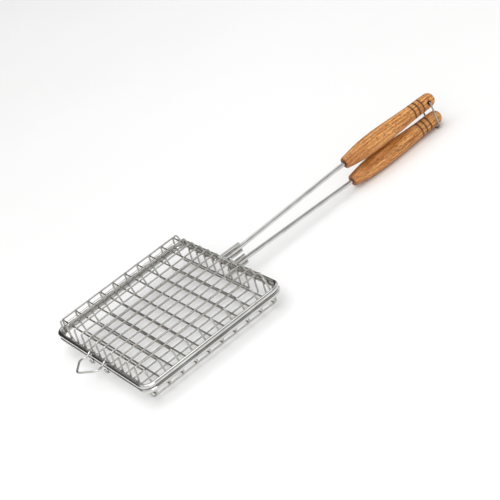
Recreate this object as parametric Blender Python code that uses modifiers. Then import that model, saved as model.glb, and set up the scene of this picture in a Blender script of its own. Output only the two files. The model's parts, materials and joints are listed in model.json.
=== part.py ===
"""Hinged wire grill basket with two long wooden-gripped handles.

Two equal wire trays close face to face and clamp food between them. Each tray is a thick
rectangular frame wire, a square grid of thin wires bent down to the frame, and a handle
rod with a turned wooden grip. A bent wire loop at the front is the hinge, and a wire ring
in the upper grip locks the two grips together.

Frame: +Y runs from the hinge to the grips, +X is the basket's right side, +Z is up. The
origin is the centre of the object's outline at the height of its lowest point.
All sizes are in metres.
"""

import math

import bmesh
import bpy
from mathutils import Matrix, Vector

# --- Driving dimensions -------------------------------------------------------------------
GAP = 0.0003                    # clearance left between pieces that touch

PITCH = 0.020                   # spacing of the grid wires, both ways
GRID_RADIUS = 0.0011            # thin grid wire
FRAME_RADIUS = 0.0028           # thick frame wire
CROSS_COUNT = 10                # wires that run from side to side
LONG_COUNT = 11                 # wires that run from front to back

FRAME_HALF_WIDTH = 0.1195       # frame wire's centre line
FRAME_HALF_LENGTH = 0.1020
FRAME_CORNER = 0.014
FRAME_HEIGHT = 0.0032           # centre of one frame wire above the plane where trays meet

CROSS_HEIGHT = 0.0182           # side-to-side wires above the meeting plane
LONG_HEIGHT = CROSS_HEIGHT + 2 * GRID_RADIUS + GAP
CROSS_BEND_X = 0.1102           # where the side-to-side wires turn down
LONG_BEND_Y = 0.0946            # where the front-to-back wires turn down
FIRST_LONG_X = 0.0956           # the rightmost front-to-back wire of the upper tray
FOOT_HEIGHT = 0.0010            # lower end of the turned-down wires
BEND_RADIUS = 0.0030

ROD_RADIUS = 0.00275
ROD_START_Y = 0.0965            # front end of the handle rod, just inside the frame
ROD_BASE_HEIGHT = FRAME_HEIGHT + FRAME_RADIUS + ROD_RADIUS + GAP
ROD_GRIP_HEIGHT = 0.0138        # height of the rod and grip axis at the grip
ROD_LEVEL = 0.006               # level stretch in front of the grip and behind the stays
ROD_IN_GRIP = 0.052

STAY_RADIUS = 0.0020            # the brace and the stay that hold the rod to the tray
STAY_END_Y = 0.1262             # their rear ends, beside the rod
BRACE_START_Y = 0.0875          # front end of the brace, under the last side-to-side wire

GRIP_FRONT_Y = 0.3054
GRIP_LENGTH = 0.1593
GRIP_STEPS = 20                 # flats round the grip
GRIP_DOME_START = 0.1500        # where the rounded end begins
GRIP_DOME_RADIUS = 0.0096
DOME_STEPS = 5
BORE_DEPTH = 0.055
MOUTH_RADIUS = 0.0046           # countersunk mouth round the rod
MOUTH_DEPTH = 0.0025
GROOVE_DEPTH = 0.0008
GROOVE_HALF_WIDTH = 0.0007
GROOVES = (0.1195, 0.1272, 0.1350)
# Grip radius at chosen stations along its length, front to rear
GRIP_SHAPE = ((0.0, 0.0076), (0.012, 0.0096), (0.024, 0.0112), (0.036, 0.0122),
              (0.054, 0.0126), (0.075, 0.0122), (0.095, 0.0113), (0.112, 0.0105),
              (0.1230, 0.0102), (0.1460, 0.0098))

RING_RADIUS = 0.00115
RING_HOLE_RADIUS = 0.0024
RING_HOLE_STATION = 0.1450      # cross hole in the upper grip, from the grip's front
RING_HOLE_RISE = 0.0012         # and above the grip's axis
RING_HALF_WIDTH = 0.0123
RING_LENGTH = 0.04015           # from the hole's axis down to the ring's cross bar
RING_CORNER = 0.008             # its two lower corners
RING_TOP_CORNER = 0.0018        # its two corners beside the hole

EYE_RADIUS = 0.0013             # wire of the hinge loop
EYE_X = 0.0200                  # the two eyes sit this far from the centre plane
EYE_UPPER_CLEARANCE = 0.00035
EYE_LOWER_CLEARANCE = 0.0010    # the hooks hang a little loose
EYE_LOWER_ARC = (160, 360)      # degrees round the lower frame wire, from the free end
EYE_UPPER_ARC = (0, 120)        # degrees round the upper frame wire, to the loop
EYE_LOWER_STEPS = 8
EYE_UPPER_STEPS = 5
LOOP_HEIGHT = 0.0045            # level of the loop above the meeting plane
LOOP_HALF_WIDTH = 0.0250
LOOP_SHOULDER = 0.0138          # widest point in front of the frame
LOOP_TIP_RISE = 0.0020          # the tip stands this much above the level
LOOP_REACH = 0.0318             # where the loop's sides would meet, in front of the frame
LOOP_LEVEL_START = 0.0062       # where the wire has come down to the loop's level
LOOP_SHOULDER_RADIUS = 0.008
LOOP_TIP_RADIUS = 0.007

WIRE_SIDES = 2                  # bevel resolution of thin wires
ROD_SIDES = 4                   # bevel resolution of thick wires
BEND_STEPS = 2                  # straight pieces in a small bend of a thin wire
CORNER_STEPS = 6                # and in a large rounded corner
HOLE_SIDES = 16

# --- Derived places -----------------------------------------------------------------------
GRIP_END_Y = GRIP_FRONT_Y + GRIP_LENGTH
LOOP_TIP_HALF_ANGLE = math.atan2(LOOP_HALF_WIDTH, LOOP_REACH - LOOP_SHOULDER)
LOOP_TIP_Y = (-FRAME_HALF_LENGTH - LOOP_REACH - EYE_RADIUS
              + LOOP_TIP_RADIUS * (1 / math.sin(LOOP_TIP_HALF_ANGLE) - 1))
GRIP_MAX_RADIUS = max(radius for _, radius in GRIP_SHAPE)
ORIGIN = Vector((0.0, (LOOP_TIP_Y + GRIP_END_Y) / 2, -ROD_GRIP_HEIGHT - GRIP_MAX_RADIUS))


def clear_scene():
    for item in list(bpy.data.objects):
        bpy.data.objects.remove(item, do_unlink=True)


def make_collection(name):
    group = bpy.data.collections.new(name)
    bpy.context.scene.collection.children.link(group)
    return group


def make_material(name, colour, metallic, roughness):
    material = bpy.data.materials.new(name)
    material.use_nodes = True
    shader = material.node_tree.nodes["Principled BSDF"]
    shader.inputs["Base Color"].default_value = (*colour, 1.0)
    shader.inputs["Metallic"].default_value = metallic
    shader.inputs["Roughness"].default_value = roughness
    return material


def link(item, material=None, parent=None):
    """Put an object in the part's collection, with its material and its pivot."""
    PARTS.objects.link(item)
    if material is not None:
        item.data.materials.append(material)
    if parent is not None:
        item.parent = parent
        item.matrix_parent_inverse = Matrix.Translation(-parent.location)
    return item


def make_pivot(name, place):
    pivot = bpy.data.objects.new(name, None)
    pivot.empty_display_size = PITCH
    pivot.location = place
    return link(pivot)


def fillet(corner, before, after, radius, steps):
    """Points of an arc that rounds the corner between two straight runs."""
    toward_before = (before - corner).normalized()
    toward_after = (after - corner).normalized()
    half_angle = toward_before.angle(toward_after) / 2
    setback = radius / math.tan(half_angle)
    centre = corner + (toward_before + toward_after).normalized() * radius / math.sin(half_angle)
    start = corner + toward_before * setback - centre
    turn = math.pi - 2 * half_angle
    axis = start.cross(corner + toward_after * setback - centre)
    return [centre + Matrix.Rotation(turn * step / steps, 3, axis) @ start
            for step in range(steps + 1)]


def rounded_path(corners, radius, steps, closed=False):
    """A polyline through the corners, each inner corner rounded to the radius."""
    corners = [Vector(corner) for corner in corners]
    count = len(corners)
    points = []
    for index, corner in enumerate(corners):
        if not closed and index in (0, count - 1):
            points.append(corner)
            continue
        before = corners[index - 1]
        after = corners[(index + 1) % count]
        points.extend(fillet(corner, before, after, radius, steps))
    return points


def add_wire(name, points, radius, material, parent, sides=WIRE_SIDES, closed=False, tilt=0.0):
    """A round wire along a polyline, with flat ends."""
    curve = bpy.data.curves.new(name, "CURVE")
    curve.dimensions = "3D"
    curve.bevel_depth = radius
    curve.bevel_resolution = sides
    curve.use_fill_caps = not closed
    spline = curve.splines.new("POLY")
    spline.points.add(len(points) - 1)
    spline.use_cyclic_u = closed
    spline.use_smooth = True
    for knot, place in zip(spline.points, points):
        knot.co = (*(place - ORIGIN), 1.0)
        knot.tilt = tilt
    return link(bpy.data.objects.new(name, curve), material, parent)


def turned(flip, x, y, z):
    """A place in the upper tray, or the same place in the tray turned over about Y."""
    return Vector((-x, y, -z)) if flip else Vector((x, y, z))


def add_frame(side, flip, parent):
    width, length = FRAME_HALF_WIDTH, FRAME_HALF_LENGTH
    corners = [turned(flip, x, y, FRAME_HEIGHT)
               for x, y in ((-width, -length), (width, -length), (width, length), (-width, length))]
    path = rounded_path(corners, FRAME_CORNER, CORNER_STEPS, closed=True)
    add_wire(f"{side}_frame", path, FRAME_RADIUS, CHROME, parent, ROD_SIDES, closed=True)


def add_grid(side, flip, parent):
    """The wires of one tray: flat over the food, then turned down inside the frame."""
    inset = FRAME_RADIUS + GRID_RADIUS + GAP
    foot_x = FRAME_HALF_WIDTH - inset
    foot_y = FRAME_HALF_LENGTH - inset
    facet = math.pi / 8          # turns an eight-sided wire so that a flat side faces out
    for index in range(LONG_COUNT):
        x = FIRST_LONG_X - index * PITCH
        corners = [turned(flip, x, y, z) for y, z in (
            (-foot_y, FOOT_HEIGHT), (-LONG_BEND_Y, LONG_HEIGHT),
            (LONG_BEND_Y, LONG_HEIGHT), (foot_y, FOOT_HEIGHT))]
        add_wire(f"{side}_long_wire_{index + 1:02d}", rounded_path(corners, BEND_RADIUS, BEND_STEPS),
                 GRID_RADIUS, BRIGHT_WIRE, parent, tilt=facet)
    for index in range(CROSS_COUNT):
        y = (index - (CROSS_COUNT - 1) / 2) * PITCH
        corners = [turned(flip, x, y, z) for x, z in (
            (-foot_x, FOOT_HEIGHT), (-CROSS_BEND_X, CROSS_HEIGHT),
            (CROSS_BEND_X, CROSS_HEIGHT), (foot_x, FOOT_HEIGHT))]
        add_wire(f"{side}_cross_wire_{index + 1:02d}", rounded_path(corners, BEND_RADIUS, BEND_STEPS),
                 GRID_RADIUS, BRIGHT_WIRE, parent, tilt=facet)


def add_rod(side, flip, parent):
    """The handle rod on the frame wire, with the brace and the stay that hold it there."""
    run = ((ROD_START_Y, ROD_BASE_HEIGHT), (STAY_END_Y + ROD_LEVEL, ROD_BASE_HEIGHT),
           (GRIP_FRONT_Y - ROD_LEVEL, ROD_GRIP_HEIGHT),
           (GRIP_FRONT_Y + ROD_IN_GRIP, ROD_GRIP_HEIGHT))
    add_wire(f"{side}_handle_rod", [turned(flip, 0.0, y, z) for y, z in run],
             ROD_RADIUS, CHROME, parent, ROD_SIDES)

    offset = ROD_RADIUS + STAY_RADIUS + GAP
    under_wire = CROSS_HEIGHT - GRID_RADIUS - STAY_RADIUS - GAP
    brace = ((BRACE_START_Y, under_wire), (STAY_END_Y, ROD_BASE_HEIGHT + offset))
    add_wire(f"{side}_rod_brace", [turned(flip, 0.0, y, z) for y, z in brace],
             STAY_RADIUS, CHROME, parent)

    stay_height = ROD_BASE_HEIGHT - offset
    stay_front = FRAME_HALF_LENGTH + FRAME_RADIUS + GAP
    add_wire(f"{side}_rod_stay",
             [turned(flip, 0.0, y, stay_height) for y in (stay_front, STAY_END_Y)],
             STAY_RADIUS, CHROME, parent)


def grip_outline():
    """Radius and station pairs of the turned grip, from its rear tip down to its bore."""
    outline = []
    dome_depth = GRIP_LENGTH - GRIP_DOME_START
    for step in range(DOME_STEPS + 1):
        angle = math.pi / 2 * (1 - step / DOME_STEPS)
        outline.append((GRIP_DOME_RADIUS * math.cos(angle),
                        GRIP_DOME_START + dome_depth * math.sin(angle)))
    body = [(radius, station) for station, radius in GRIP_SHAPE]
    for centre in GROOVES:
        wall = radius_at(centre)
        body.append((wall, centre - GROOVE_HALF_WIDTH))
        body.append((wall - GROOVE_DEPTH, centre))
        body.append((wall, centre + GROOVE_HALF_WIDTH))
    outline.extend(sorted(body, key=lambda point: -point[1]))
    bore = ROD_RADIUS + GAP
    outline.extend([(MOUTH_RADIUS, 0.0), (bore, MOUTH_DEPTH), (bore, BORE_DEPTH), (0.0, BORE_DEPTH)])
    return outline


def radius_at(station):
    """Grip radius at a station, between the chosen ones."""
    for (start, first), (end, second) in zip(GRIP_SHAPE, GRIP_SHAPE[1:]):
        if start <= station <= end:
            return first + (second - first) * (station - start) / (end - start)
    return GRIP_SHAPE[-1][1]


def add_grip(side, flip, parent):
    """A turned wooden grip: an outline swept round its axis, which then lies along Y."""
    mesh = bpy.data.meshes.new(f"{side}_grip")
    shape = bmesh.new()
    knots = [shape.verts.new((radius, 0.0, station)) for radius, station in grip_outline()]
    for first, second in zip(knots, knots[1:]):
        shape.edges.new((first, second))
    shape.to_mesh(mesh)
    shape.free()
    grip = bpy.data.objects.new(f"{side}_grip", mesh)
    grip.location = turned(flip, 0.0, GRIP_FRONT_Y, ROD_GRIP_HEIGHT) - ORIGIN
    grip.rotation_euler = (-math.pi / 2, 0.0, 0.0)
    link(grip, WOOD, parent)
    sweep = grip.modifiers.new("turned", "SCREW")
    sweep.axis = "Z"
    sweep.angle = 2 * math.pi
    sweep.steps = sweep.render_steps = GRIP_STEPS
    sweep.use_merge_vertices = True
    sweep.merge_threshold = 0.00001
    sweep.use_smooth_shade = True
    return grip


def ring_pivot_place():
    return Vector((0.0, GRIP_FRONT_Y + RING_HOLE_STATION, ROD_GRIP_HEIGHT + RING_HOLE_RISE))


def cut_ring_hole(grip):
    """The cross hole near the rear of the upper grip."""
    bpy.ops.mesh.primitive_cylinder_add(vertices=HOLE_SIDES, radius=RING_HOLE_RADIUS,
                                        depth=4 * GRIP_MAX_RADIUS,
                                        location=ring_pivot_place() - ORIGIN,
                                        rotation=(0.0, math.pi / 2, 0.0))
    cutter = bpy.context.object
    cutter.name = "ring_hole_cutter"
    cutter.hide_render = True
    cutter.display_type = "WIRE"
    for group in list(cutter.users_collection):
        group.objects.unlink(cutter)
    GUIDES.objects.link(cutter)
    cut = grip.modifiers.new("ring hole", "BOOLEAN")
    cut.operation = "DIFFERENCE"
    cut.solver = "EXACT"
    cut.object = cutter


def add_ring(parent):
    """The locking ring: one closed wire through the upper grip's hole."""
    down = Vector((0.0, 0.0, -1.0))
    across = Vector((1.0, 0.0, 0.0))
    top = ring_pivot_place()
    corners = [(-1, 0.0, RING_TOP_CORNER), (1, 0.0, RING_TOP_CORNER),
               (1, RING_LENGTH, RING_CORNER), (-1, RING_LENGTH, RING_CORNER)]
    places = [top + across * side * RING_HALF_WIDTH + down * drop for side, drop, _ in corners]
    path = []
    for index, (_, _, radius) in enumerate(corners):
        before, after = places[index - 1], places[(index + 1) % len(places)]
        path.extend(fillet(places[index], before, after, radius, CORNER_STEPS))
    add_wire("locking_ring", path, RING_RADIUS, BRIGHT_WIRE, parent, closed=True)


def eye_points():
    """One eye of the hinge loop, seen along X: round both frame wires from its free end."""
    wires = ((-FRAME_HEIGHT, EYE_LOWER_CLEARANCE, EYE_LOWER_ARC, EYE_LOWER_STEPS),
             (FRAME_HEIGHT, EYE_UPPER_CLEARANCE, EYE_UPPER_ARC, EYE_UPPER_STEPS))
    points = []
    for height, clearance, (start, end), steps in wires:
        radius = FRAME_RADIUS + clearance + EYE_RADIUS
        for step in range(steps + 1):
            angle = math.radians(start + (end - start) * step / steps)
            points.append((radius * math.cos(angle), height + radius * math.sin(angle)))
    return points


def add_hinge_loop(parent):
    """The hinge: one wire whose ends curl round both front frame wires, with a loop between."""
    hinge_y = -FRAME_HALF_LENGTH
    left_eye = [Vector((-EYE_X, hinge_y + y, z)) for y, z in eye_points()]
    right_eye = [Vector((EYE_X, hinge_y + y, z)) for y, z in eye_points()]
    outline = [(-EYE_X, LOOP_LEVEL_START), (-LOOP_HALF_WIDTH, LOOP_SHOULDER), (0.0, LOOP_REACH),
               (LOOP_HALF_WIDTH, LOOP_SHOULDER), (EYE_X, LOOP_LEVEL_START)]
    slope = LOOP_TIP_RISE / (LOOP_REACH - LOOP_LEVEL_START)
    corners = [Vector((x, hinge_y - y, LOOP_HEIGHT + slope * (y - LOOP_LEVEL_START)))
               for x, y in outline]
    loop = [corners[0]]
    radii = (LOOP_SHOULDER_RADIUS, LOOP_TIP_RADIUS, LOOP_SHOULDER_RADIUS)
    for index, radius in enumerate(radii, start=1):
        loop.extend(fillet(corners[index], corners[index - 1], corners[index + 1], radius,
                           CORNER_STEPS))
    loop.append(corners[-1])
    path = left_eye + loop + right_eye[::-1]
    add_wire("hinge_loop", path, EYE_RADIUS, BRIGHT_WIRE, parent)


def add_tray(side, flip, parent=None):
    add_frame(side, flip, parent)
    add_grid(side, flip, parent)
    add_rod(side, flip, parent)
    return add_grip(side, flip, parent)


clear_scene()
PARTS = make_collection("grill_basket")
GUIDES = make_collection("guides")
CHROME = make_material("chrome_rod", (0.80, 0.80, 0.79), 1.0, 0.16)
BRIGHT_WIRE = make_material("chrome_wire", (0.76, 0.76, 0.75), 1.0, 0.22)
WOOD = make_material("oiled_wood", (0.52, 0.25, 0.08), 0.0, 0.48)

HINGE_LINE = Vector((0.0, -FRAME_HALF_LENGTH, 0.0))
LIFT = Vector((0.0, 0.0, FRAME_HEIGHT))
LOOP_PIVOT = make_pivot("hinge_loop_pivot", HINGE_LINE - LIFT - ORIGIN)
UPPER_PIVOT = make_pivot("upper_tray_pivot", HINGE_LINE + LIFT - ORIGIN)
RING_PIVOT = make_pivot("locking_ring_pivot", ring_pivot_place() - ORIGIN)

add_tray("lower", flip=True)
UPPER_GRIP = add_tray("upper", flip=False, parent=UPPER_PIVOT)
cut_ring_hole(UPPER_GRIP)
add_hinge_loop(LOOP_PIVOT)
add_ring(RING_PIVOT)
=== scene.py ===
import json
import math
import random

import bmesh
import bpy
import numpy as np
from mathutils import Euler, Matrix, Vector


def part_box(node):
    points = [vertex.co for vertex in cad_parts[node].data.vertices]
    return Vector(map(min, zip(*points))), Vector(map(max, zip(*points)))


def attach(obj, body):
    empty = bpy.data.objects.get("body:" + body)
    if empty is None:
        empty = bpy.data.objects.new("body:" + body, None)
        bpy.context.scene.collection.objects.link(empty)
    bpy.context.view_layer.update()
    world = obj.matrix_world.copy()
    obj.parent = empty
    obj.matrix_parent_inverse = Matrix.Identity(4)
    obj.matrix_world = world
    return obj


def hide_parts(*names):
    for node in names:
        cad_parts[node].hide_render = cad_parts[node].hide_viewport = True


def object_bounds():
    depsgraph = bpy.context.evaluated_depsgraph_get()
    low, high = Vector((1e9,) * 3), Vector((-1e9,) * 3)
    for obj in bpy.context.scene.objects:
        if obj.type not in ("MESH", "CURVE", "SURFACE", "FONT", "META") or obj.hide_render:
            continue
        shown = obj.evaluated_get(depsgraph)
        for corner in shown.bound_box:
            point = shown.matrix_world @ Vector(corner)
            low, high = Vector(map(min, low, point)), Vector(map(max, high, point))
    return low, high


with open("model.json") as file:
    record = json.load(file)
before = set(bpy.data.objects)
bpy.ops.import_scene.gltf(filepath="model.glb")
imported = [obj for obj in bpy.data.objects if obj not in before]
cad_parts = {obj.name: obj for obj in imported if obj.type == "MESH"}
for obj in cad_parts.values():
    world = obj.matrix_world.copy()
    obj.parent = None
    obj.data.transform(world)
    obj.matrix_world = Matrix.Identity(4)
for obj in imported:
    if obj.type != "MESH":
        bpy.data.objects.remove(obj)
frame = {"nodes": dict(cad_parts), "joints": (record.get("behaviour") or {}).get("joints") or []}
CAD_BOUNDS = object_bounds()
NODES = frame["nodes"]

# ------------------------------------------------------------------ sizes, in metres
GRID_R = 0.0011                 # thin wire
FRAME_R = 0.0028                # thick frame wire
ROD_R = 0.00275
STAY_R = 0.0020                 # brace and stay
LOOP_R = 0.0013
RING_R = 0.00115
GAP = 0.0003                    # what the CAD model leaves between touching pieces
FLAT = math.cos(math.pi / 8)    # an eight-sided CAD wire is this much thinner across its flats

LONG_BEND = 0.0074              # where long wires turn down, in from the frame wire's centre
CROSS_BEND = 0.0093
BEND_RADIUS = 0.0034
FRAME_CORNER = 0.014
ROD_BEND_RADIUS = 0.05
ROD_STRAIGHT = 0.006            # the rod runs level this far past its stay and before its grip
BRACE_TOUCH = 0.004             # the brace is welded to the rod this far before its rear end
BRACE_BEAD_TOUCH = 0.003        # and the drop of weld metal there has its middle here

EYE_UPPER_CLEARANCE = 0.00035
EYE_LOWER_CLEARANCE = 0.0010
EYE_X = 0.0200
LOOP_HALF_WIDTH = 0.0250
LOOP_SHOULDER = 0.0138
LOOP_REACH = 0.0318
LOOP_TIP_RISE = 0.0020
LOOP_LEVEL_START = 0.0062
LOOP_RISE = 0.0013              # the loop's level above the upper frame wire's centre
LOOP_SHOULDER_RADIUS = 0.008
LOOP_TIP_RADIUS = 0.007
LOOP_SPACING = 0.0007           # between the points of the loop's smoothed path

# the grip's outline: (distance from its front end, radius)
GRIP_SHAPE = ((0.0, 0.0076), (0.012, 0.0096), (0.024, 0.0112), (0.036, 0.0122),
              (0.054, 0.0126), (0.075, 0.0122), (0.095, 0.0113), (0.112, 0.0105),
              (0.1230, 0.0102), (0.1460, 0.0098), (0.1500, 0.0096))
GRIP_LENGTH = 0.1593
GRIP_DOME_START = 0.1500
GRIP_DOME_R = 0.0096
GRIP_EDGE_R = 0.0011            # rounding of the front edge
GRIP_SPACING = 0.0014           # between the outline's stations
GROOVES = (0.1195, 0.1272, 0.1350)
GROOVE_DEPTH = 0.0008
GROOVE_HALF = 0.0009
GROOVE_SHOULDER = 0.00012       # how far the wood beside a groove is worn down
GROOVE_REACH = 0.0016           # stations stand closer together this far round a groove
MOUTH_R = 0.0046
MOUTH_DEPTH = 0.0025
BORE_R = 0.00305
BORE_DEPTH = 0.055
FRONT_BURN_REACH = 0.0016
FRONT_WEAR_AND_SHADE_REACH = 0.07         # the wood is darker this far from the front end, from handling wear and from painted shade
REAR_WEAR_REACH = 0.012
RING_HOLE_R = 0.0024
RING_HOLE_LENGTH = 0.05         # of the drill, longer than the grip is thick
RING_CORNER = 0.008
RING_TOP_CORNER = 0.0018

# swellings of the skin where wires are welded: (rise, spread)
GRID_WELD = (0.00034, 0.0024)
FOOT_WELD = (0.0007, 0.0026)
FRAME_WELD = (0.0003, 0.0024)
ROD_WELD = (0.0004, 0.0036)
BRACE_GRID_WELD = (0.0004, 0.003)
BRACE_ROD_WELD = (0.0004, 0.004)
STAY_WELD = (0.0004, 0.006)

# drops of weld metal: half sizes along X, Y and Z
FRAME_BEAD = (0.0032, 0.0016, 0.0009)
BRACE_ROD_BEAD = (0.0014, 0.0040, 0.0007)
BRACE_GRID_BEAD = (0.0022, 0.0014, 0.0007)
STAY_FRONT_BEAD = (0.0022, 0.0008, 0.0022)
STAY_ROD_BEAD = (0.0013, 0.0070, 0.0007)
BEAD_HEAT = 0.7                 # how strongly they show as weld

GRID_WOBBLE = 0.00008           # how far a drawn wire strays from its line
LOOP_WOBBLE = 0.00006
WOBBLE_WAVES = (12, 60)         # half waves per metre, least and most
HALF_TURN = 3.14                # of a wave, in radians
FULL_TURN = 6.28
CUT_EDGE = 0.35                 # rounding of a thick wire's cut ends, in wire radii
ROUND_END = 0.9                 # and of a thin wire's
END_RINGS = 4                   # rings of the skin in that rounding
HEAT_SPREAD = 1.25              # a weld's dull skin reaches this many times its spread
PIECE_SHIFT = 3.7               # moves the surface pattern on from one wire to the next
SAME_PLACE = 1e-7               # points closer than this are one

SEEDS = {"lower": {"long": 0, "cross": 20, "frame": 4, "rod": 8, "brace": 10, "stay": 12, "beads": 32},
         "upper": {"long": 50, "cross": 80, "frame": 3, "rod": 7, "brace": 9, "stay": 11, "beads": 31}}
LOOP_SEED = 21
RING_SEED = 22

# ------------------------------------------------------------------ colours, linear RGB
WELD_TINT = (0.33, 0.285, 0.23)
WOOD_TONES = [(0.34, (0.33, 0.112, 0.018)), (0.44, (0.53, 0.210, 0.046)),
              (0.54, (0.70, 0.325, 0.095)), (0.66, (0.92, 0.52, 0.21))]
WOOD_PATCH = (0.34, 0.125, 0.032)
WOOD_PORE = (0.13, 0.040, 0.010)
# darker wood from wear, also used as painted shade towards the grip's front
WOOD_WORN_AND_SHADED = (0.30, 0.085, 0.018)
# burnt wood, also used as painted shade round the ring hole
WOOD_BURNT_AND_SHADED = (0.070, 0.013, 0.003)
FLOOR_TONES = [(0.3, (0.90, 0.90, 0.895)), (0.7, (0.93, 0.93, 0.93))]

# ------------------------------------------------------------------ stage: metres, watts and radians
FLOOR_SIZE = 40.0
KEY_PLACE, KEY_SIZE, KEY_POWER = (1.9, -0.9, 1.9), 1.8, 26
OVERHEAD_PLACE, OVERHEAD_SIZE, OVERHEAD_POWER = (-0.2, -0.3, 3.0), 2.6, 30
WORLD_STRENGTH = 0.85
GAP_DARK, STRIP_DARK = 0.95, 0.97
STRIP_LEAN = 0.64               # the dark strip's lean from straight up towards +X
CAMERA_LENS = 106.06
CAMERA_PLACE = (1.50798, -0.63236, 0.89562)
CAMERA_TURN = (1.029489, 0.406050, 0.957808)


def joint_place(name):
    return Vector(next(j["pos_m"] for j in frame["joints"] if j["name"] == name))


LOWER_HINGE = joint_place("loop_hinge")
UPPER_HINGE = joint_place("tray_hinge")
RING_PIVOT = joint_place("ring_hinge")


# ------------------------------------------------------------------ shader helpers
def new_material(name):
    material = bpy.data.materials.new(name)
    material.use_nodes = True
    tree = material.node_tree
    return material, tree, tree.nodes["Principled BSDF"]


def add_node(tree, kind, inputs=None, **settings):
    """A new node. Each input is another node's output, which is linked, or a plain value."""
    node = tree.nodes.new(kind)
    for key, value in settings.items():
        setattr(node, key, value)
    for key, value in (inputs or {}).items():
        if hasattr(value, "is_output"):
            tree.links.new(value, node.inputs[key])
        else:
            node.inputs[key].default_value = value
    return node


def attribute(tree, name):
    return add_node(tree, "ShaderNodeAttribute", attribute_name=name)


def math_node(tree, operation, a, b=0.0, clamp=False):
    node = add_node(tree, "ShaderNodeMath", {0: a, 1: b}, operation=operation)
    node.use_clamp = clamp
    return node.outputs[0]


def weighted_sum(tree, *parts):
    """The sum of (value, weight) pairs."""
    total = None
    for value, weight in reversed(parts):
        term = math_node(tree, "MULTIPLY", value, weight)
        total = term if total is None else math_node(tree, "ADD", term, total)
    return total


def ramp(tree, factor, stops):
    """A colour ramp through (position, colour) stops. A plain number stands for a grey."""
    node = add_node(tree, "ShaderNodeValToRGB", {"Fac": factor})
    elements = node.color_ramp.elements
    while len(elements) < len(stops):
        elements.new(0.5)
    for element, (place, value) in zip(elements, stops):
        element.position = place
        element.color = (*value, 1.0) if isinstance(value, tuple) else (value, value, value, 1.0)
    return node.outputs["Color"]


def blend_colour(tree, factor, a, b):
    """Colour a where the factor is 0, and b where it is 1."""
    node = add_node(tree, "ShaderNodeMix", data_type="RGBA", blend_type="MIX")
    for index, value in ((0, factor), (6, a), (7, b)):      # sockets 6 and 7 are the RGBA pair
        if hasattr(value, "is_output"):
            tree.links.new(value, node.inputs[index])
        else:
            node.inputs[index].default_value = (*value, 1.0) if isinstance(value, tuple) else value
    return node.outputs[2]


def noise(tree, vector, scale, detail, roughness):
    return add_node(tree, "ShaderNodeTexNoise", {"Vector": vector, "Scale": scale, "Detail": detail,
                                                 "Roughness": roughness}).outputs["Fac"]


def stretched(tree, vector, scale):
    return add_node(tree, "ShaderNodeMapping", {"Vector": vector, "Scale": scale}).outputs[0]


def grain(tree, vector, stretch, scale, detail, roughness):
    """Noise drawn out along Y."""
    return noise(tree, stretched(tree, vector, (1.0, stretch, 1.0)), scale, detail, roughness)


def object_place(tree):
    return add_node(tree, "ShaderNodeTexCoord").outputs["Object"]


def bump_surface(tree, shader, height, strength, distance):
    bump = add_node(tree, "ShaderNodeBump", {"Height": height, "Strength": strength, "Distance": distance})
    tree.links.new(bump.outputs[0], shader.inputs["Normal"])


# ------------------------------------------------------------------ materials
def plated_wire(name, bright, dull, roughness, line_depth):
    """Plated steel wire: drawn lines along it, dull patches, and a darker, rougher skin at welds."""
    material, tree, shader = new_material(name)
    along = attribute(tree, "wire_place").outputs["Vector"]      # round, along, piece
    weld = attribute(tree, "weld").outputs["Fac"]
    place = object_place(tree)
    lines = noise(tree, stretched(tree, along, (1500.0, 28.0, 1.0)), scale=1.0, detail=3.0, roughness=0.6)
    patches = noise(tree, place, scale=55.0, detail=3.0, roughness=0.55)
    specks = noise(tree, place, scale=900.0, detail=2.0, roughness=0.6)
    mottled = math_node(tree, "MULTIPLY", weld, ramp(tree, specks, [(0.3, 0.55), (0.65, 1.0)]))

    dullness = math_node(tree, "MULTIPLY", patches, lines)
    base = blend_colour(tree, ramp(tree, dullness, [(0.12, 0.0), (0.42, 1.0)]), bright, dull)
    heated = blend_colour(tree, math_node(tree, "MULTIPLY", mottled, 0.75), base, WELD_TINT)
    tree.links.new(heated, shader.inputs["Base Color"])
    shader.inputs["Metallic"].default_value = 1.0

    low_rough, high_rough = roughness
    rough = ramp(tree, weighted_sum(tree, (lines, 0.5), (patches, 0.5)),
                 [(0.3, low_rough), (0.7, high_rough)])
    rough = math_node(tree, "ADD", rough, math_node(tree, "MULTIPLY", mottled, 0.22), clamp=True)
    tree.links.new(rough, shader.inputs["Roughness"])
    rough_skin = math_node(tree, "MULTIPLY", specks, weld)
    bump_surface(tree, shader, weighted_sum(tree, (lines, 1.0), (rough_skin, 3.0)), 0.25, line_depth)
    return material


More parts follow.
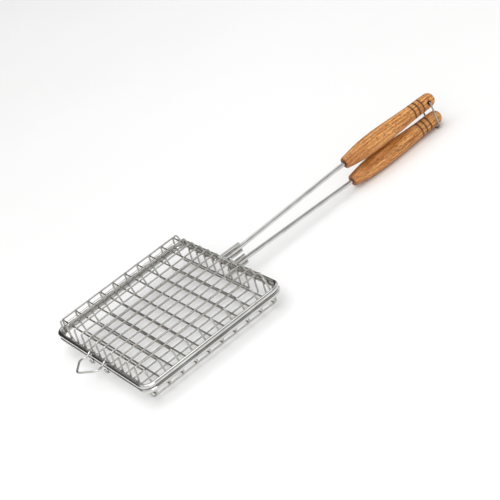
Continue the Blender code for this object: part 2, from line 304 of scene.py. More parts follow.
def oiled_wood(name, seed):
    """Turned hardwood with its grain along Y, short dark pores, burnt grooves and an oiled sheen, with
    painted shade round the ring hole and towards the front.
    """
    material, tree, shader = new_material(name)
    place = add_node(tree, "ShaderNodeMapping", {"Vector": object_place(tree),
                                                 "Location": (seed * 0.37, seed * 0.61, seed * 0.23),
                                                 "Rotation": (0.012, seed * 0.9, 0.008)}).outputs[0]
    burn_and_shade = attribute(tree, "burn_and_shade").outputs["Fac"]
    wear_and_shade = attribute(tree, "wear_and_shade").outputs["Fac"]
    warp = grain(tree, place, 0.12, scale=60.0, detail=2.0, roughness=0.5)
    shift = add_node(tree, "ShaderNodeVectorMath", {0: warp, "Scale": 0.004}, operation="SCALE").outputs[0]
    warped = add_node(tree, "ShaderNodeVectorMath", {0: stretched(tree, place, (1.0, 0.06, 1.0)), 1: shift},
                      operation="ADD").outputs[0]
    bands = add_node(tree, "ShaderNodeTexWave", {"Vector": warped, "Scale": 75.0, "Distortion": 1.0,
                                                 "Detail": 2.0, "Detail Scale": 1.4},
                     wave_type="BANDS", bands_direction="X", wave_profile="SIN").outputs["Fac"]
    broad = grain(tree, place, 0.10, scale=170.0, detail=3.0, roughness=0.6)
    fibres = grain(tree, place, 0.03, scale=1000.0, detail=3.0, roughness=0.6)
    pores = grain(tree, place, 0.10, scale=1900.0, detail=1.0, roughness=0.4)
    crowding = math_node(tree, "MULTIPLY", math_node(tree, "SUBTRACT", broad, 0.5), 0.2)
    pore_mask = ramp(tree, math_node(tree, "SUBTRACT", pores, crowding), [(0.555, 0.0), (0.61, 1.0)])
    patches = grain(tree, place, 0.3, scale=38.0, detail=2.0, roughness=0.5)
    patch_mask = ramp(tree, patches, [(0.45, 0.0), (0.75, 1.0)])
    # burnt wood and the painted shade round the ring hole share this mask
    scorch_and_shade = math_node(tree, "MULTIPLY", burn_and_shade, ramp(tree, fibres, [(0.2, 0.85), (0.6, 1.0)]), clamp=True)

    wood = ramp(tree, weighted_sum(tree, (bands, 0.12), (broad, 0.24), (fibres, 0.64)), WOOD_TONES)
    # the last of these darkens the wood with wear at both ends and with painted shade towards the front
    for mask, strength, colour in ((patch_mask, 0.35, WOOD_PATCH), (pore_mask, 0.80, WOOD_PORE),
                                   (wear_and_shade, 0.4, WOOD_WORN_AND_SHADED)):
        wood = blend_colour(tree, math_node(tree, "MULTIPLY", mask, strength), wood, colour)
    tree.links.new(blend_colour(tree, scorch_and_shade, wood, WOOD_BURNT_AND_SHADED), shader.inputs["Base Color"])

    rough = ramp(tree, weighted_sum(tree, (fibres, 0.4), (broad, 0.6)), [(0.3, 0.36), (0.7, 0.52)])
    rough = math_node(tree, "ADD", rough, math_node(tree, "MULTIPLY", scorch_and_shade, 0.25), clamp=True)
    tree.links.new(rough, shader.inputs["Roughness"])
    height = math_node(tree, "SUBTRACT", math_node(tree, "MULTIPLY", fibres, 0.5), pore_mask)
    bump_surface(tree, shader, height, strength=0.45, distance=0.00012)
    shader.inputs["Specular IOR Level"].default_value = 0.35
    shader.inputs["Coat Weight"].default_value = 0.12
    shader.inputs["Coat Roughness"].default_value = 0.20
    return material


def floor_material():
    material, tree, shader = new_material("floor_pale")
    cloud = noise(tree, object_place(tree), scale=1.6, detail=3.0, roughness=0.5)
    tree.links.new(ramp(tree, cloud, FLOOR_TONES), shader.inputs["Base Color"])
    shader.inputs["Roughness"].default_value = 0.75
    shader.inputs["Specular IOR Level"].default_value = 0.2
    return material


THIN_WIRE = plated_wire("plated_thin_wire", bright=(0.58, 0.572, 0.55), dull=(0.42, 0.413, 0.392),
                        roughness=(0.10, 0.20), line_depth=0.00002)
THICK_WIRE = plated_wire("plated_thick_wire", bright=(0.72, 0.717, 0.705), dull=(0.48, 0.475, 0.46),
                         roughness=(0.03, 0.09), line_depth=0.00001)
# the ring's plating gets a darker colour and near-black dull patches: painted dark reflections, darker than
# the same metal on the other wires
RING_WIRE_PAINTED_DARK = plated_wire("plated_ring_wire_painted_dark", bright=(0.48, 0.477, 0.465), dull=(0.16, 0.157, 0.150),
                        roughness=(0.05, 0.13), line_depth=0.00001)
WOODS = {"lower": oiled_wood("oiled_wood_lower", seed=1.0), "upper": oiled_wood("oiled_wood_upper", seed=2.7)}


# ------------------------------------------------------------------ paths
def fillet(corner, before, after, radius, steps):
    """Points of an arc that rounds the corner between two straight runs."""
    to_before, to_after = (before - corner).normalized(), (after - corner).normalized()
    half = to_before.angle(to_after) / 2
    setback = radius / math.tan(half)
    centre = corner + (to_before + to_after).normalized() * radius / math.sin(half)
    start = corner + to_before * setback - centre
    axis = start.cross(corner + to_after * setback - centre)
    return [centre + Matrix.Rotation((math.pi - 2 * half) * step / steps, 3, axis) @ start
            for step in range(steps + 1)]


def rounded(corners, radii, closed=False, steps=10):
    """The path through the corners, each rounded by its radius, or all by the same one."""
    corners = [Vector(c) for c in corners]
    if not isinstance(radii, (list, tuple)):
        radii = [radii] * len(corners)
    points = []
    for index, corner in enumerate(corners):
        if not closed and index in (0, len(corners) - 1):
            points.append(corner)
        else:
            points += fillet(corner, corners[index - 1], corners[(index + 1) % len(corners)],
                             radii[index], steps)
    return points


def without_repeats(line):
    """The points, each unlike the one before, and the length of the path up to each."""
    step = np.linalg.norm(np.diff(line, axis=0), axis=1)
    line = line[np.concatenate([[True], step > SAME_PLACE])]
    step = np.linalg.norm(np.diff(line, axis=0), axis=1)
    return line, np.concatenate([[0.0], np.cumsum(step)])


def points_at(wanted, line, length):
    return np.stack([np.interp(wanted, length, line[:, axis]) for axis in range(3)], axis=1)


def nearest_length(place, line, length):
    """How far along the path its nearest point to a place is."""
    start, run = line[:-1], line[1:] - line[:-1]
    share = np.clip(((place - start) * run).sum(1) / (run * run).sum(1), 0, 1)
    k = int(np.argmin(np.linalg.norm(start + run * share[:, None] - place, axis=1)))
    return length[k] + share[k] * (length[k + 1] - length[k])


def resample(points, closed, welds, coarse, fine, reach):
    """Points along the path, close together near welds and bends."""
    line = np.array([tuple(p) for p in points])
    if closed:
        line = np.vstack([line, line[:1]])
    line, length = without_repeats(line)
    total = length[-1]
    wanted = list(length) + list(np.linspace(0, total, max(2, int(total / coarse) + 1)))
    for place, *_ in welds:
        wanted += list(nearest_length(np.array(tuple(place)), line, length)
                       + np.arange(-reach, reach + fine / 2, fine))
    wanted = np.array(sorted(w for w in wanted if 0 <= w <= total))
    closest = fine * 0.45
    chosen = [wanted[0]]
    for w in wanted[1:]:
        if w - chosen[-1] > closest:
            chosen.append(w)
    if not closed and total - chosen[-1] > 10 * SAME_PLACE:
        chosen[-1] = total
    if closed and total - chosen[-1] < closest:
        chosen.pop()
    chosen = np.array(chosen)
    return points_at(chosen, line, length), chosen


def smoothed(points, passes):
    """The same open path with its kinks eased, resampled evenly first."""
    line, length = without_repeats(np.array([tuple(p) for p in points]))
    line = points_at(np.linspace(0, length[-1], int(length[-1] / LOOP_SPACING)), line, length)
    for _ in range(passes):
        line[1:-1] = line[1:-1] * 0.5 + (line[:-2] + line[2:]) * 0.25
    return [Vector(p) for p in line]


def sweep_frames(line, closed):
    """The direction and two cross directions at each point, turned as little as possible."""
    if closed:
        ahead = np.roll(line, -1, axis=0) - np.roll(line, 1, axis=0)
    else:
        ahead = np.gradient(line, axis=0)
    ahead /= np.linalg.norm(ahead, axis=1)[:, None]
    first = np.array([0.0, 0.0, 1.0])
    if abs(ahead[0] @ first) > 0.9:
        first = np.array([1.0, 0.0, 0.0])
    side = np.cross(ahead[0], first)
    sides = [side / np.linalg.norm(side)]
    for k in range(1, len(line)):
        side = sides[-1] - ahead[k] * (sides[-1] @ ahead[k])
        sides.append(side / np.linalg.norm(side))
    sides = np.array(sides)
    return ahead, sides, np.cross(ahead, sides)


# ------------------------------------------------------------------ wire geometry
def wobbled(line, length, across, wobble, seed):
    """The path with slow waves added in the cross directions."""
    rng = np.random.default_rng(seed)
    for direction in across:
        phases, counts = rng.uniform(0, FULL_TURN, 3), rng.uniform(*WOBBLE_WAVES, 3)
        waves = sum(np.sin(count * HALF_TURN * length + phase) for phase, count in zip(phases, counts))
        line = line + direction * (wobble / 3 * waves)[:, None]
    return line


def end_rings(tip, inward, radius, soft):
    """(centre, radius, distance from the tip) of the rings that round an end over, tip first."""
    rings = []
    for k in range(END_RINGS, 0, -1):
        angle = math.pi / 2 * k / (END_RINGS + 1)
        back = soft * (1 - math.sin(angle))
        rings.append((tip + inward * back, radius - soft * (1 - math.cos(angle)), back))
    return rings


def wire_rings(line, length, ahead, across, radius, closed, soft):
    """(centre, radius, length along the wire, cross directions) of each ring of the skin."""
    inner = [(place, radius, s, pair) for place, s, pair in zip(line, length, across)
             if closed or length[0] + soft < s < length[-1] - soft]
    if closed:
        return inner
    start = [(place, r, length[0] + back, across[0])
             for place, r, back in end_rings(line[0], ahead[0], radius, soft)]
    end = [(place, r, length[-1] - back, across[-1])
           for place, r, back in end_rings(line[-1], -ahead[-1], radius, soft)]
    return start + inner + end[::-1]


def raised_at_welds(verts, normals, welds):
    """The skin with its weld swellings, and how strongly each point shows a weld."""
    heat = np.zeros(len(verts))
    for place, direction, rise, spread in welds:
        direction = np.array(tuple(Vector(direction).normalized()))
        away = np.linalg.norm(verts - np.array(tuple(place)), axis=1)
        fall = np.clip(1 - (away / spread) ** 2, 0, 1) ** 2
        facing = np.clip(normals @ direction, 0, 1)
        verts = verts + direction * (rise * fall * facing)[:, None]
        heat = np.maximum(heat, np.clip(1 - (away / (spread * HEAT_SPREAD)) ** 2, 0, 1))
    return verts, heat


def skin_faces(count, sides, closed):
    faces = []
    for k in range(count if closed else count - 1):
        a, b = k * sides, ((k + 1) % count) * sides
        for j in range(sides):
            n = (j + 1) % sides
            faces.append((a + j, a + n, b + n, b + j))
    if not closed:
        faces.append(tuple(range(sides - 1, -1, -1)))
        faces.append(tuple((count - 1) * sides + j for j in range(sides)))
    return faces


def smooth_mesh(mesh):
    mesh.polygons.foreach_set("use_smooth", [True] * len(mesh.polygons))


def outward_mesh(name, verts, faces):
    """A mesh with its faces turned outwards."""
    mesh = bpy.data.meshes.new(name)
    mesh.from_pydata([tuple(v) for v in verts], [], faces)
    shaped = bmesh.new()
    shaped.from_mesh(mesh)
    bmesh.ops.recalc_face_normals(shaped, faces=shaped.faces)
    shaped.to_mesh(mesh)
    shaped.free()
    return mesh


def vertex_places(mesh):
    places = np.zeros(len(mesh.vertices) * 3)
    mesh.vertices.foreach_get("co", places)
    return places.reshape(-1, 3)


def set_values(mesh, name, values):
    mesh.attributes.new(name, "FLOAT", "POINT").data.foreach_set("value", values)


def set_vectors(mesh, name, vectors):
    mesh.attributes.new(name, "FLOAT_VECTOR", "POINT").data.foreach_set("vector", vectors.ravel())


def wire_mesh(name, points, radius, sides=14, closed=False, welds=(), coarse=0.004, fine=0.0005,
              reach=0.003, wobble=0.0, seed=0, cut_ends=False):
    """A round wire along a path. Each weld is (place, direction, rise, spread): the skin rises there."""
    line, length = resample(points, closed, welds, coarse, fine, reach)
    ahead, side, up = sweep_frames(line, closed)
    if wobble:
        line = wobbled(line, length, (side, up), wobble, seed)
    soft = radius * (CUT_EDGE if cut_ends else ROUND_END)
    rings = wire_rings(line, length, ahead, list(zip(side, up)), radius, closed, soft)
    count = len(rings)
    angles = np.arange(sides) * 2 * math.pi / sides
    normals = [np.cos(angles)[:, None] * across[None] + np.sin(angles)[:, None] * over[None]
               for _, _, _, (across, over) in rings]
    verts = [place[None] + normal * r for (place, r, _, _), normal in zip(rings, normals)]
    verts, heat = raised_at_welds(np.concatenate(verts), np.concatenate(normals), welds)
    mesh = outward_mesh(name, verts, skin_faces(count, sides, closed))
    smooth_mesh(mesh)
    around = np.tile(np.abs(angles - math.pi) * radius, count)
    along = np.repeat([s for _, _, s, _ in rings], sides)
    set_vectors(mesh, "wire_place", np.stack([around, along, np.full(len(along), seed * PIECE_SHIFT)], 1))
    set_values(mesh, "weld", heat)
    return mesh


def weld_beads(name, beads, seed):
    """Small uneven drops of weld metal, as one mesh. Each bead is (place, half sizes)."""
    shaped = bmesh.new()
    rng = random.Random(seed)
    for place, size in beads:
        made = bmesh.ops.create_icosphere(shaped, subdivisions=4, radius=1.0)
        phases = [rng.uniform(0, FULL_TURN) for _ in range(6)]
        for vert in made["verts"]:
            x, y, z = vert.co
            lump = (1 + 0.10 * math.sin(3.1 * x + phases[0]) * math.sin(2.7 * y + phases[1])
                    + 0.07 * math.sin(5.3 * z + 4.1 * x + phases[2])
                    + 0.04 * math.sin(9.0 * y + phases[3]) * math.sin(8.0 * x + phases[4]))
            vert.co = Vector((x * size[0] * lump + place[0], y * size[1] * lump + place[1],
                              z * size[2] * lump + place[2]))
    mesh = bpy.data.meshes.new(name)
    shaped.to_mesh(mesh)
    shaped.free()
    smooth_mesh(mesh)
    set_vectors(mesh, "wire_place", vertex_places(mesh))
    set_values(mesh, "weld", np.full(len(mesh.vertices), BEAD_HEAT))
    return mesh


def place_piece(name, mesh, material, body, slot, *stands_for):
    item = bpy.data.objects.new(name, mesh)
    bpy.context.scene.collection.objects.link(item)
    mesh.materials.append(material)
    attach(item, body)
    if stands_for:
        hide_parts(*stands_for)


# ------------------------------------------------------------------ the two trays
def tray_sizes(side):
    """Sizes of one tray, read off the CAD nodes, and (node, place) of its long and cross wires.

    out is +1 for the upper tray, whose outer side is up, and -1 for the lower.
    """
    out = 1 if side == "upper" else -1
    low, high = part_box(f"{side}_frame")
    size = {"out": out, "half_x": (high.x - low.x) / 2 - FRAME_R,
            "front": low.y + FRAME_R, "rear": high.y - FRAME_R, "frame_z": (low.z + high.z) / 2}
    low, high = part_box(f"{side}_long_wire_06")
    size["long_z"] = high.z - GRID_R * FLAT if out > 0 else low.z + GRID_R * FLAT
    low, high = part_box(f"{side}_cross_wire_05")
    size["cross_z"] = high.z - GRID_R * FLAT if out > 0 else low.z + GRID_R * FLAT
    size["foot_z"] = low.z if out > 0 else high.z
    for kind, axis in (("long", 0), ("cross", 1)):
        nodes = sorted(n for n in NODES if n.startswith(f"{side}_{kind}_wire"))
        size[kind] = [(n, sum(corner[axis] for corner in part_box(n)) / 2) for n in nodes]
    return size


def build_grid_wire(side, kind, index, node, path, welds):
    mesh = wire_mesh(f"{node}_plated", path, GRID_R, welds=welds, wobble=GRID_WOBBLE,
                     seed=index + SEEDS[side][kind])
    place_piece(f"{node}_plated", mesh, THIN_WIRE, f"{side}_tray", "wire", node)


def build_grid(side, tray):
    """The thin wires of one tray. Returns the welds that their feet leave on the frame wire."""
    out, half_x, front, rear = tray["out"], tray["half_x"], tray["front"], tray["rear"]
    foot_z, frame_z, long_z, cross_z = tray["foot_z"], tray["frame_z"], tray["long_z"], tray["cross_z"]
    inset = FRAME_R + GRID_R + GAP
    frame_welds = []
    for index, (node, x) in enumerate(tray["long"]):
        path = rounded([(x, front + inset, foot_z), (x, front + LONG_BEND, long_z),
                        (x, rear - LONG_BEND, long_z), (x, rear - inset, foot_z)], BEND_RADIUS)
        welds = [((x, y, long_z - out * GRID_R), (0, 0, -out), *GRID_WELD) for _, y in tray["cross"]]
        for edge, way in ((front, -1), (rear, 1)):
            welds.append(((x, edge - way * inset, frame_z), (0, way, 0), *FOOT_WELD))
            frame_welds.append(((x, edge - way * FRAME_R, frame_z), (0, -way, 0), *FRAME_WELD))
        build_grid_wire(side, "long", index, node, path, welds)

    for index, (node, y) in enumerate(tray["cross"]):
        path = rounded([(inset - half_x, y, foot_z), (CROSS_BEND - half_x, y, cross_z),
                        (half_x - CROSS_BEND, y, cross_z), (half_x - inset, y, foot_z)], BEND_RADIUS)
        welds = [((x, y, cross_z + out * GRID_R), (0, 0, out), *GRID_WELD) for _, x in tray["long"]]
        for way in (-1, 1):
            welds.append(((way * (half_x - inset), y, frame_z), (way, 0, 0), *FOOT_WELD))
            frame_welds.append(((way * (half_x - FRAME_R), y, frame_z), (-way, 0, 0), *FRAME_WELD))
        build_grid_wire(side, "cross", index, node, path, welds)
    return frame_welds


def build_frame_wire(side, tray, welds):
    half_x, front, rear, z = tray["half_x"], tray["front"], tray["rear"], tray["frame_z"]
    corners = [(-half_x, front, z), (half_x, front, z), (half_x, rear, z), (-half_x, rear, z)]
    path = rounded(corners, FRAME_CORNER, closed=True, steps=16)
    mesh = wire_mesh(f"{side}_frame_plated", path, FRAME_R, sides=28, closed=True, welds=welds,
                     coarse=0.003, fine=0.0006, seed=SEEDS[side]["frame"])
    place_piece(f"{side}_frame_plated", mesh, THICK_WIRE, f"{side}_tray", "rod", f"{side}_frame")


def build_handle_wires(side, tray):
    """The rod, its brace and stay, and the drops of weld metal that hold them."""
    out, body, seeds = tray["out"], f"{side}_tray", SEEDS[side]
    grip_low, grip_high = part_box(f"{side}_grip")
    grip_z = (grip_low.z + grip_high.z) / 2
    rod_low, rod_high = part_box(f"{side}_handle_rod")
    stay_low, stay_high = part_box(f"{side}_rod_stay")
    stay_z = (stay_low.z + stay_high.z) / 2
    base_z = stay_z + out * (ROD_R + STAY_R + GAP)
    on_frame = (0, tray["rear"], base_z - out * ROD_R)
    path = rounded([(0, rod_low.y, base_z), (0, stay_high.y + ROD_STRAIGHT, base_z),
                    (0, grip_low.y - ROD_STRAIGHT, grip_z), (0, rod_high.y, grip_z)], ROD_BEND_RADIUS)
    mesh = wire_mesh(f"{side}_rod_plated", path, ROD_R, sides=28, coarse=0.004, fine=0.0007, reach=0.005,
                     welds=[(on_frame, (0, 0, -out), *ROD_WELD)], seed=seeds["rod"], cut_ends=True)
    place_piece(f"{side}_rod_plated", mesh, THICK_WIRE, body, "rod", f"{side}_handle_rod")

    brace_low, brace_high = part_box(f"{side}_rod_brace")
    brace_start_z = tray["cross_z"] - out * (GRID_R + STAY_R + GAP)
    brace_end_z = base_z + out * (ROD_R + STAY_R + GAP)
    last_cross = tray["cross"][-1][1]
    on_grid = (0, last_cross, brace_start_z + out * STAY_R)
    on_rod = (0, brace_high.y - BRACE_TOUCH, brace_end_z - out * STAY_R)
    path = [Vector((0, brace_low.y, brace_start_z)), Vector((0, brace_high.y, brace_end_z))]
    mesh = wire_mesh(f"{side}_brace_plated", path, STAY_R, sides=22, coarse=0.003,
                     welds=[(on_grid, (0, 0, out), *BRACE_GRID_WELD),
                            (on_rod, (0, 0, -out), *BRACE_ROD_WELD)],
                     seed=seeds["brace"], cut_ends=True)
    place_piece(f"{side}_brace_plated", mesh, THICK_WIRE, body, "rod", f"{side}_rod_brace")

    on_stay = (0, (stay_low.y + stay_high.y) / 2, stay_z + out * STAY_R)
    path = [Vector((0, stay_low.y, stay_z)), Vector((0, stay_high.y, stay_z))]
    mesh = wire_mesh(f"{side}_stay_plated", path, STAY_R, sides=22, coarse=0.002,
                     welds=[(on_stay, (0, 0, out), *STAY_WELD)], seed=seeds["stay"], cut_ends=True)
    place_piece(f"{side}_stay_plated", mesh, THICK_WIRE, body, "rod", f"{side}_rod_stay")

    beads = [(on_frame, FRAME_BEAD),
             ((0, brace_high.y - BRACE_BEAD_TOUCH, brace_end_z - out * STAY_R), BRACE_ROD_BEAD),
             (on_grid, BRACE_GRID_BEAD),
             ((0, stay_low.y, stay_z), STAY_FRONT_BEAD),
             (on_stay, STAY_ROD_BEAD)]
    mesh = weld_beads(f"{side}_rod_weld_beads", beads, seeds["beads"])
    place_piece(f"{side}_rod_weld_beads", mesh, THICK_WIRE, body, "rod")


def build_tray(side):
    sizes = tray_sizes(side)
    frame_welds = build_grid(side, sizes)
    build_frame_wire(side, sizes, frame_welds)
    build_handle_wires(side, sizes)


# ------------------------------------------------------------------ hinge wire and ring
def hinge_eye(x):
    """The turn of the hinge wire round both frame wires, from its free end to the loop."""
    points = []
    for centre, clearance, start, end, steps in ((LOWER_HINGE, EYE_LOWER_CLEARANCE, 160, 360, 30),
                                                 (UPPER_HINGE, EYE_UPPER_CLEARANCE, 0, 120, 20)):
        radius = FRAME_R + clearance + LOOP_R
        for step in range(steps + 1):
            angle = math.radians(start + (end - start) * step / steps)
            points.append(Vector((x, centre.y + radius * math.cos(angle),
                                  centre.z + radius * math.sin(angle))))
    return points


def build_hinge():
    level = UPPER_HINGE.z + LOOP_RISE
    slope = LOOP_TIP_RISE / (LOOP_REACH - LOOP_LEVEL_START)
    outline = [(-EYE_X, LOOP_LEVEL_START), (-LOOP_HALF_WIDTH, LOOP_SHOULDER), (0.0, LOOP_REACH),
               (LOOP_HALF_WIDTH, LOOP_SHOULDER), (EYE_X, LOOP_LEVEL_START)]
    corners = [Vector((x, UPPER_HINGE.y - y, level + slope * (y - LOOP_LEVEL_START)))
               for x, y in outline]
    radii = [0, LOOP_SHOULDER_RADIUS, LOOP_TIP_RADIUS, LOOP_SHOULDER_RADIUS, 0]
    loop = rounded(corners, radii, steps=12)
    path = smoothed(hinge_eye(-EYE_X) + loop + hinge_eye(EYE_X)[::-1], 3)
    mesh = wire_mesh("hinge_loop_plated", path, LOOP_R, sides=16, coarse=0.002, wobble=LOOP_WOBBLE,
                     seed=LOOP_SEED, cut_ends=True)
    place_piece("hinge_loop_plated", mesh, THIN_WIRE, "hinge_link", "wire", "hinge_loop")


def build_ring():
    low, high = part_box("locking_ring")
    half = (high.x - low.x) / 2 - RING_R
    length = RING_PIVOT.z - low.z - RING_R
    top, y = RING_PIVOT.z, RING_PIVOT.y
    corners = [(-half, y, top), (half, y, top), (half, y, top - length), (-half, y, top - length)]
    path = rounded(corners, [RING_TOP_CORNER, RING_TOP_CORNER, RING_CORNER, RING_CORNER], closed=True,
                   steps=14)
    mesh = wire_mesh("locking_ring_plated", path, RING_R, sides=18, closed=True, coarse=0.002,
                     seed=RING_SEED)
    place_piece("locking_ring_plated", mesh, RING_WIRE_PAINTED_DARK, "ring_link", "wire", "locking_ring")


# ------------------------------------------------------------------ grips
def grip_radius(stations):
    """Smooth outline through the turned grip's chosen radii."""
    s = np.array([p[0] for p in GRIP_SHAPE])
    r = np.array([p[1] for p in GRIP_SHAPE])
    slope = np.gradient(r, s)
    k = np.clip(np.searchsorted(s, stations) - 1, 0, len(s) - 2)
    h = s[k + 1] - s[k]
    t = (stations - s[k]) / h
    return ((2 * t**3 - 3 * t**2 + 1) * r[k] + (t**3 - 2 * t**2 + t) * h * slope[k]
            + (-2 * t**3 + 3 * t**2) * r[k + 1] + (t**3 - t**2) * h * slope[k + 1])


def grip_outline():
    """(radius, station) from the rear tip along the outside, round the front edge and into the bore."""
    stations = set(np.round(np.arange(GRIP_SPACING, GRIP_DOME_START, GRIP_SPACING), 6))
    for groove in GROOVES:
        stations |= {round(groove + d, 6) for d in np.linspace(-GROOVE_REACH, GROOVE_REACH, 17)}
    stations = np.array(sorted(stations))
    radii = grip_radius(stations)
    for groove in GROOVES:
        away = np.abs(stations - groove) / GROOVE_HALF
        radii = radii - GROOVE_DEPTH * np.clip(1 - away, 0, 1) ** 0.8
        radii = radii - GROOVE_SHOULDER * np.exp(-((away - 1.1) / 0.35) ** 2)
    outline = [(GRIP_DOME_R * math.sin(angle),
                GRIP_DOME_START + (GRIP_LENGTH - GRIP_DOME_START) * math.cos(angle))
               for angle in np.linspace(0, math.pi / 2, 14)[:-1]]
    outline.append((GRIP_DOME_R, GRIP_DOME_START))
    outline += [(r, s) for r, s in zip(radii[::-1], stations[::-1]) if s < GRIP_DOME_START - 0.0005]
    front_r = GRIP_SHAPE[0][1]
    outline += [(front_r - GRIP_EDGE_R * (1 - math.cos(angle)), GRIP_EDGE_R * (1 - math.sin(angle)))
                for angle in np.linspace(0.25, math.pi / 2, 6)]
    outline += [(MOUTH_R + 0.0003, 0.0), (MOUTH_R - 0.0001, 0.0002),
                (BORE_R + 0.0002, MOUTH_DEPTH - 0.0002), (BORE_R, MOUTH_DEPTH + 0.0003),
                (BORE_R, 0.02), (BORE_R, BORE_DEPTH), (0.0, BORE_DEPTH)]
    return outline


def turned_mesh(name, outline, front, axis_z, rounds):
    """The outline turned about the grip's axis. A point on the axis makes one vertex."""
    verts, faces, starts = [], [], []
    for r, s in outline:
        starts.append(len(verts))
        if r < SAME_PLACE:
            verts.append((0.0, front + s, axis_z))
        else:
            verts += [(r * math.cos(a), front + s, axis_z + r * math.sin(a))
                      for a in (2 * math.pi * k / rounds for k in range(rounds))]
    for k in range(len(outline) - 1):
        a, b = starts[k], starts[k + 1]
        for j in range(rounds):
            n = (j + 1) % rounds
            if outline[k][0] < SAME_PLACE:
                faces.append((a, b + j, b + n))
            elif outline[k + 1][0] < SAME_PLACE:
                faces.append((a + j, b, a + n))
            else:
                faces.append((a + j, b + j, b + n, a + n))
    return outward_mesh(name, verts, faces)


def with_ring_hole(mesh, name):
    """The grip's mesh with the ring's cross hole cut through it."""
    grip = bpy.data.objects.new("grip_blank", mesh)
    bpy.context.scene.collection.objects.link(grip)
    drill = bpy.data.meshes.new("ring_drill")
    shaped = bmesh.new()
    bmesh.ops.create_cone(shaped, cap_ends=True, segments=40, radius1=RING_HOLE_R, radius2=RING_HOLE_R,
                          depth=RING_HOLE_LENGTH, matrix=Matrix.Translation(RING_PIVOT)
                          @ Matrix.Rotation(math.pi / 2, 4, "Y"))
    shaped.to_mesh(drill)
    shaped.free()
    cutter = bpy.data.objects.new("ring_drill", drill)
    bpy.context.scene.collection.objects.link(cutter)
    cut = grip.modifiers.new("ring hole", "BOOLEAN")
    cut.operation, cut.solver, cut.object = "DIFFERENCE", "EXACT", cutter
    bpy.context.view_layer.update()
    made = bpy.data.meshes.new_from_object(grip.evaluated_get(bpy.context.evaluated_depsgraph_get()))
    made.name = name
    bpy.data.objects.remove(grip)
    bpy.data.objects.remove(cutter)
    return made


def grip_burn_and_shade(places, station, radius, has_hole):
    """How burnt or shaded each point is: burnt in the grooves, at the front edge and in the bore, and painted
    shade round the ring hole.
    """
    burn_and_shade = np.zeros(len(places))
    for groove in GROOVES:
        away = np.abs(station - groove) / GROOVE_HALF
        in_groove = np.clip(1.5 - away, 0, 1)
        halo = 0.45 * np.exp(-((away - 1.2) / 0.9) ** 2)
        burn_and_shade = np.maximum(burn_and_shade, np.maximum(in_groove, halo))
    front_edge = np.clip(1 - station / FRONT_BURN_REACH, 0, 1) * 0.45
    in_bore = (radius < MOUTH_R + 0.0001) & (station < BORE_DEPTH + 0.001)
    burn_and_shade = np.maximum(burn_and_shade, np.maximum(front_edge, in_bore * 0.5))
    if has_hole:
        # painted shade: the wood round the ring hole is darkened out to about twice the hole's radius, as if
        # the ring shades it
        from_hole = np.hypot(places[:, 1] - RING_PIVOT.y, places[:, 2] - RING_PIVOT.z)
        burn_and_shade = np.maximum(burn_and_shade, np.clip(1.9 - from_hole / RING_HOLE_R * 0.95, 0, 1) * 0.95)
    return burn_and_shade


def build_grip(side):
    low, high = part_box(f"{side}_grip")
    axis_z, front = (low.z + high.z) / 2, low.y
    name = f"{side}_grip_turned"
    mesh = turned_mesh(name, grip_outline(), front, axis_z, rounds=72)
    has_hole = side == "upper"
    if has_hole:
        mesh = with_ring_hole(mesh, name)
    smooth_mesh(mesh)
    places = vertex_places(mesh)
    station = places[:, 1] - front
    radius = np.hypot(places[:, 0], places[:, 2] - axis_z)
    set_values(mesh, "burn_and_shade", grip_burn_and_shade(places, station, radius, has_hole))
    # the dome's end is darker from wear; the front is darker from wear and from painted shade, which leaves
    # the grip darker at the front than at the rear
    set_values(mesh, "wear_and_shade", np.clip((station - GRIP_DOME_START) / REAR_WEAR_REACH, 0, 1) * 0.4
               + np.clip(1 - station / FRONT_WEAR_AND_SHADE_REACH, 0, 1))
    place_piece(name, mesh, WOODS[side], f"{side}_tray", "grip_wood", f"{side}_grip")


# ------------------------------------------------------------------ build
build_tray("lower")
build_tray("upper")
build_hinge()
build_ring()
build_grip("lower")
build_grip("upper")


# ------------------------------------------------------------------ floor, light and camera
def area_light(name, place, target, size, power):
    """A square soft light that faces the target."""
    data = bpy.data.lights.new(name, "AREA")
    data.shape, data.size, data.size_y = "RECTANGLE", size, size
    data.energy = power
    lamp = bpy.data.objects.new(name, data)
    lamp.location = place
    lamp.rotation_euler = (Vector(target) - Vector(place)).to_track_quat("-Z", "Y").to_euler()
    bpy.context.scene.collection.objects.link(lamp)


def build_floor(place):
    mesh = bpy.data.meshes.new("floor")
    half = FLOOR_SIZE / 2
    mesh.from_pydata([(-half, -half, 0), (half, -half, 0), (half, half, 0), (-half, half, 0)], [],
                     [(0, 1, 2, 3)])
    mesh.materials.append(floor_material())
    item = bpy.data.objects.new("floor", mesh)
    item.location = place
    bpy.context.scene.collection.objects.link(item)


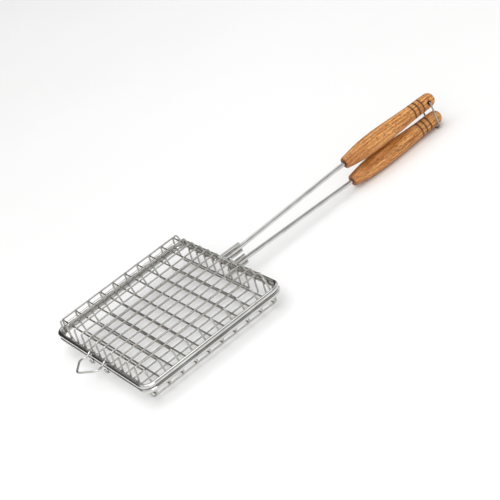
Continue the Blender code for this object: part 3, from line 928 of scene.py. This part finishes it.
def studio_world():
    """White all round, with a dark gap low on the far side and a dark strip overhead for the plating."""
    world = bpy.data.worlds.new("studio")
    bpy.context.scene.world = world
    world.use_nodes = True
    tree = world.node_tree
    direction = add_node(tree, "ShaderNodeTexCoord").outputs["Generated"]
    x, y, z = add_node(tree, "ShaderNodeSeparateXYZ", {0: direction}).outputs
    far = ramp(tree, math_node(tree, "MULTIPLY", x, -1.0), [(0.45, 0.0), (0.72, 1.0)])
    low = ramp(tree, z, [(0.50, 1.0), (0.66, 0.0)])
    off_strip = math_node(tree, "SUBTRACT", math_node(tree, "ARCTAN2", x, z), STRIP_LEAN)
    strip = math_node(tree, "MULTIPLY",
                      ramp(tree, math_node(tree, "ABSOLUTE", off_strip), [(0.22, 1.0), (0.30, 0.0)]),
                      ramp(tree, y, [(0.0, 0.0), (0.15, 1.0)]))
    gap = math_node(tree, "MULTIPLY", far, low)
    dark = math_node(tree, "MAXIMUM", math_node(tree, "MULTIPLY", gap, GAP_DARK),
                     math_node(tree, "MULTIPLY", strip, STRIP_DARK))
    light = math_node(tree, "SUBTRACT", 1.0, dark)
    background = tree.nodes["Background"]
    tree.links.new(blend_colour(tree, light, (0.0, 0.0, 0.0), (1.0, 1.0, 1.0)), background.inputs["Color"])
    background.inputs["Strength"].default_value = WORLD_STRENGTH


def build_camera():
    data = bpy.data.cameras.new("camera")
    data.sensor_width = 36.0
    data.lens = CAMERA_LENS
    data.clip_start, data.clip_end = 0.05, 50.0
    camera = bpy.data.objects.new("camera", data)
    camera.location = CAMERA_PLACE
    camera.rotation_euler = Euler(CAMERA_TURN, "XYZ")
    bpy.context.scene.collection.objects.link(camera)
    bpy.context.scene.camera = camera


low, high = CAD_BOUNDS
centre = (low + high) / 2
build_floor((centre.x, centre.y, low.z))
area_light("key_soft", KEY_PLACE, centre, KEY_SIZE, KEY_POWER)
area_light("overhead_soft", OVERHEAD_PLACE, centre, OVERHEAD_SIZE, OVERHEAD_POWER)
studio_world()
bpy.context.scene.view_settings.view_transform = "Standard"
build_camera()

bpy.context.view_layer.update()
